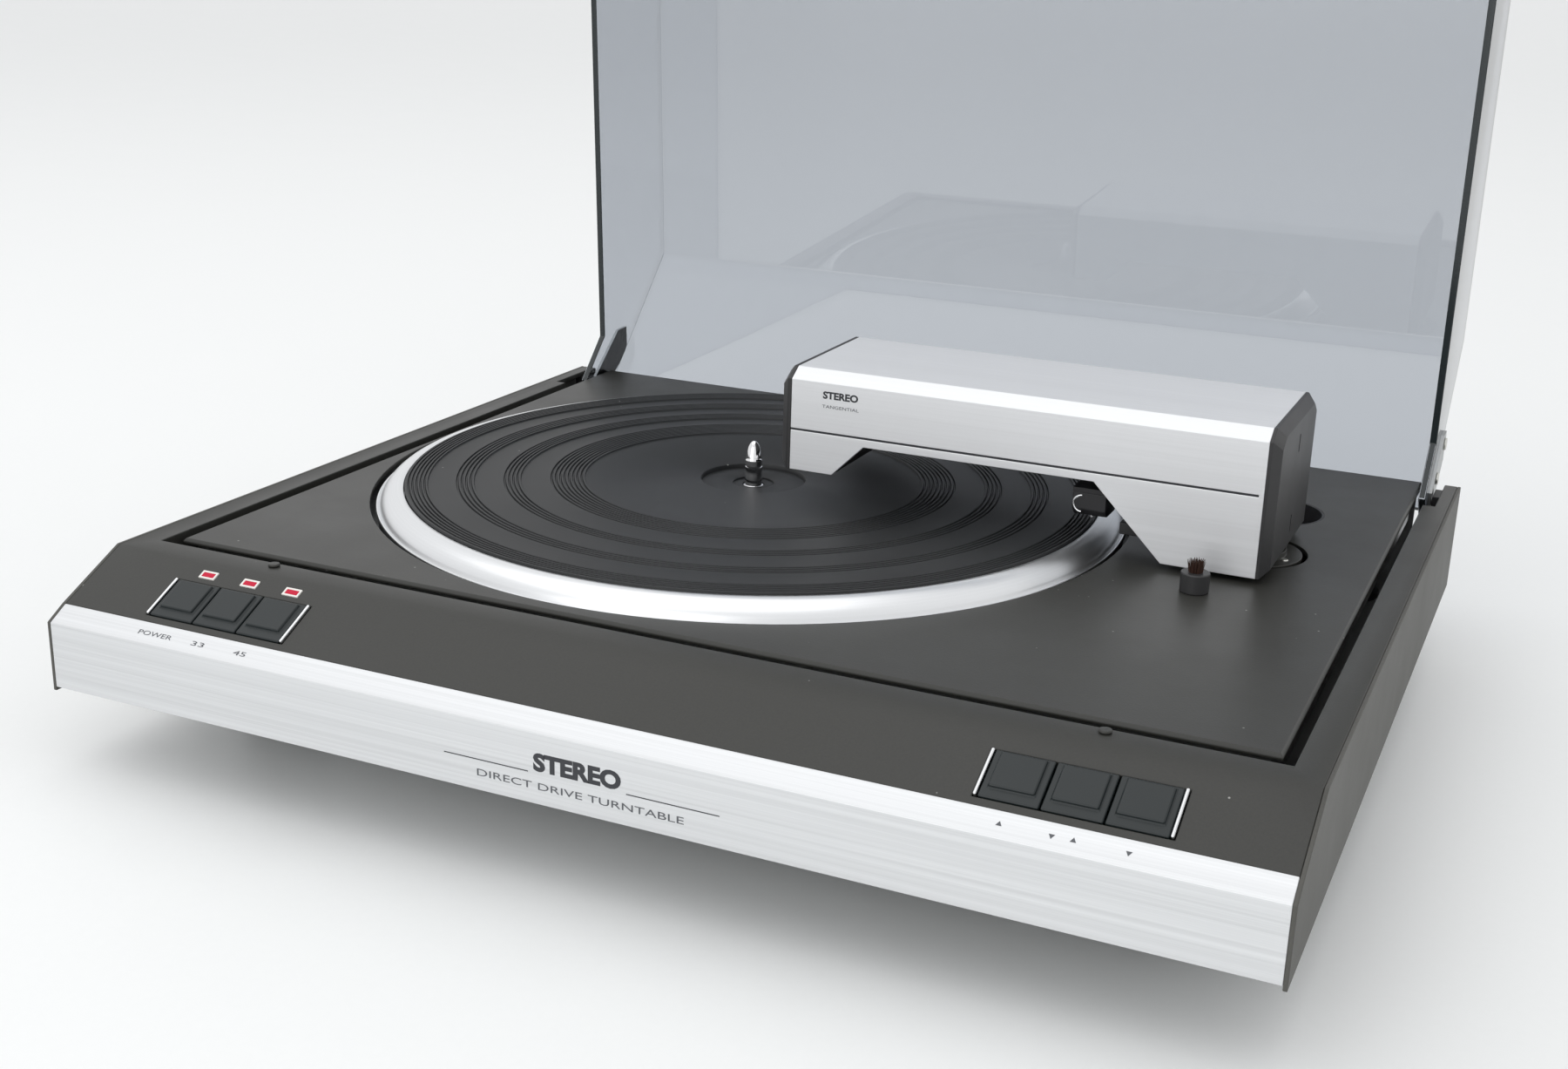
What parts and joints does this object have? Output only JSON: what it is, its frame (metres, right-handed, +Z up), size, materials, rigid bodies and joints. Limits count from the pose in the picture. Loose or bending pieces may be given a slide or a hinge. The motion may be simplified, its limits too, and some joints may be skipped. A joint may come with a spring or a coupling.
{
  "type": "turntable record player",
  "caption": "Record player with a direct-drive platter, a swinging housing that carries a tangential pickup arm, touch keys and a hinged smoked clear lid, shown open.",
  "frame": {"origin": "on the surface that the feet stand on, under the middle of the player's box with its lid raised, 224.2 mm behind the front face", "axes": "+Z up along the spindle, +Y from the front towards the hinges, +X to the right seen from the front"},
  "size_m": [0.45, 0.4483, 0.3979],
  "materials": {
    "case_paint": "matt grey-brown paint",
    "brushed_alu": "brushed and clear anodised",
    "deck_paint": "fine textured dark grey paint",
    "pan_steel": "plated sheet steel",
    "socket_metal": "nickel plated",
    "black_plastic": "moulded black",
    "foot_rubber": "matt black rubber",
    "black_paint": "satin black",
    "zinc": "zinc plated",
    "bright_trim": "satin bright",
    "circuit_board": "green laminate",
    "white_plastic": "white moulded",
    "lamp_red": "clear red lens",
    "dark_plastic": "dark grey moulded",
    "bristle": "dark brown fibre",
    "turned_alu": "finely turned",
    "mat_rubber": "ribbed black-grey rubber",
    "chrome_steel": "polished",
    "ferrite": "sintered ferrite",
    "bronze": "sintered bronze",
    "iron": "laminated iron",
    "copper": "lacquered copper wire",
    "belt_rubber": "black rubber",
    "key_paint": "satin blue-grey",
    "smoked_acrylic": "clear smoked acrylic"
  },
  "bodies": {
    "chassis": {"side_panel_left": "case_paint", "side_panel_right": "case_paint", "front_bar": "brushed_alu", "deck_frame": "deck_paint", "bottom_pan": "pan_steel", "rear_panel": "pan_steel", "phono_sockets": "socket_metal", "mains_inlet": "black_plastic", "feet": "foot_rubber", "foot_screws": "zinc", "lid_buffers": "foot_rubber", "key_bars": "bright_trim", "key_board": "circuit_board", "lamp_frames": "white_plastic", "lamp_lenses": "lamp_red", "hinge_blocks": "black_paint", "transformer": "copper", "power_board": "circuit_board", "suspension_mounts": "foot_rubber"},
    "floating_deck": {"top_plate": "deck_paint", "sub_chassis": "pan_steel", "adapter_well": "black_plastic", "brush_cup": "dark_plastic", "brush_bristles": "bristle", "motor_housing": "pan_steel", "bearing_sleeve": "bronze", "thrust_ball": "chrome_steel", "motor_stator": "iron", "stator_coils": "copper", "arm_bearing": "bronze"},
    "platter": {"platter": "turned_alu", "platter_mat": "mat_rubber", "spindle_shaft": "chrome_steel", "rotor_cup": "pan_steel", "rotor_magnet": "ferrite"},
    "arm": {"arm_shell": "brushed_alu", "arm_end_left": "dark_plastic", "arm_end_right": "dark_plastic", "arm_frame": "black_plastic", "guide_rods": "chrome_steel", "carriage_motor": "pan_steel", "edge_sensor": "black_plastic", "carriage_belt": "belt_rubber", "arm_turning_base": "deck_paint"},
    "pulley_left": {"belt_pulley_left": "black_plastic"},
    "pulley_right": {"belt_pulley_right": "black_plastic"},
    "carriage": {"arm_carriage": "black_plastic"},
    "pickup": {"pickup_arm": "bright_trim", "cartridge": "black_plastic", "stylus": "bright_trim"},
    "lid": {"lid": "smoked_acrylic", "hinge_brackets": "pan_steel", "hinge_pins": "chrome_steel", "lid_screws": "zinc"},
    "key_power_body": {"key_power": "key_paint"},
    "key_speed_33_body": {"key_speed_33": "key_paint"},
    "key_speed_45_body": {"key_speed_45": "key_paint"},
    "key_arm_return_body": {"key_arm_return": "key_paint"},
    "key_arm_lift_body": {"key_arm_lift": "key_paint"},
    "key_arm_start_body": {"key_arm_start": "key_paint"}
  },
  "joints": [
    {"name": "deck_float", "type": "slide", "parent": "chassis", "child": "floating_deck", "axis": [0, 0, 1], "range_m": [-0.002, 0.0008], "stiffness_N_per_m": 5407.5, "springref_m": 0.012, "deforming": ["suspension_mounts"]},
    {"name": "platter_spin", "type": "hinge", "parent": "floating_deck", "child": "platter", "pos_m": [-0.0463, -0.0024, 0.0766], "axis": [0, 0, -1], "continuous": true},
    {"name": "arm_swing", "type": "hinge", "parent": "floating_deck", "child": "arm", "pos_m": [0.1595, 0.0222, 0.0737], "axis": [0, 0, 1], "range_deg": [0, 90]},
    {"name": "carriage_slide", "type": "slide", "parent": "arm", "child": "carriage", "axis": [-1, 0, 0], "range_m": [0, 0.09]},
    {"name": "pulley_left_spin", "type": "hinge", "parent": "arm", "child": "pulley_left", "pos_m": [-0.0085, 0.0082, 0.1225], "axis": [0, 0, 1], "range_deg": [-1100, 1100]},
    {"name": "pulley_right_spin", "type": "hinge", "parent": "arm", "child": "pulley_right", "pos_m": [0.1495, 0.0082, 0.1225], "axis": [0, 0, 1], "range_deg": [-1100, 1100]},
    {"name": "pickup_lower", "type": "hinge", "parent": "carriage", "child": "pickup", "pos_m": [0.1025, 0.0222, 0.113], "axis": [1, 0, 0], "range_deg": [0, 9.5]},
    {"name": "lid_hinge", "type": "hinge", "parent": "chassis", "child": "lid", "pos_m": [0, 0.1526, 0.0688], "axis": [1, 0, 0], "range_deg": [0, 87.3]},
    {"name": "key_power_press", "type": "slide", "parent": "chassis", "child": "key_power_body", "axis": [0, 0.4415, -0.8973], "range_m": [0, 0.0015], "stiffness_N_per_m": 400, "springref_m": -0.001},
    {"name": "key_speed_33_press", "type": "slide", "parent": "chassis", "child": "key_speed_33_body", "axis": [0, 0.4415, -0.8973], "range_m": [0, 0.0015], "stiffness_N_per_m": 400, "springref_m": -0.001},
    {"name": "key_speed_45_press", "type": "slide", "parent": "chassis", "child": "key_speed_45_body", "axis": [0, 0.4415, -0.8973], "range_m": [0, 0.0015], "stiffness_N_per_m": 400, "springref_m": -0.001},
    {"name": "key_arm_return_press", "type": "slide", "parent": "chassis", "child": "key_arm_return_body", "axis": [0, 0.4415, -0.8973], "range_m": [0, 0.0015], "stiffness_N_per_m": 400, "springref_m": -0.001},
    {"name": "key_arm_lift_press", "type": "slide", "parent": "chassis", "child": "key_arm_lift_body", "axis": [0, 0.4415, -0.8973], "range_m": [0, 0.0015], "stiffness_N_per_m": 400, "springref_m": -0.001},
    {"name": "key_arm_start_press", "type": "slide", "parent": "chassis", "child": "key_arm_start_body", "axis": [0, 0.4415, -0.8973], "range_m": [0, 0.0015], "stiffness_N_per_m": 400, "springref_m": -0.001}
  ],
  "couplings": [
    {"joint": "pulley_left_spin", "follows": "carriage_slide", "rad_per_m": 196.08},
    {"joint": "pulley_right_spin", "follows": "carriage_slide", "rad_per_m": 196.08}
  ]
}
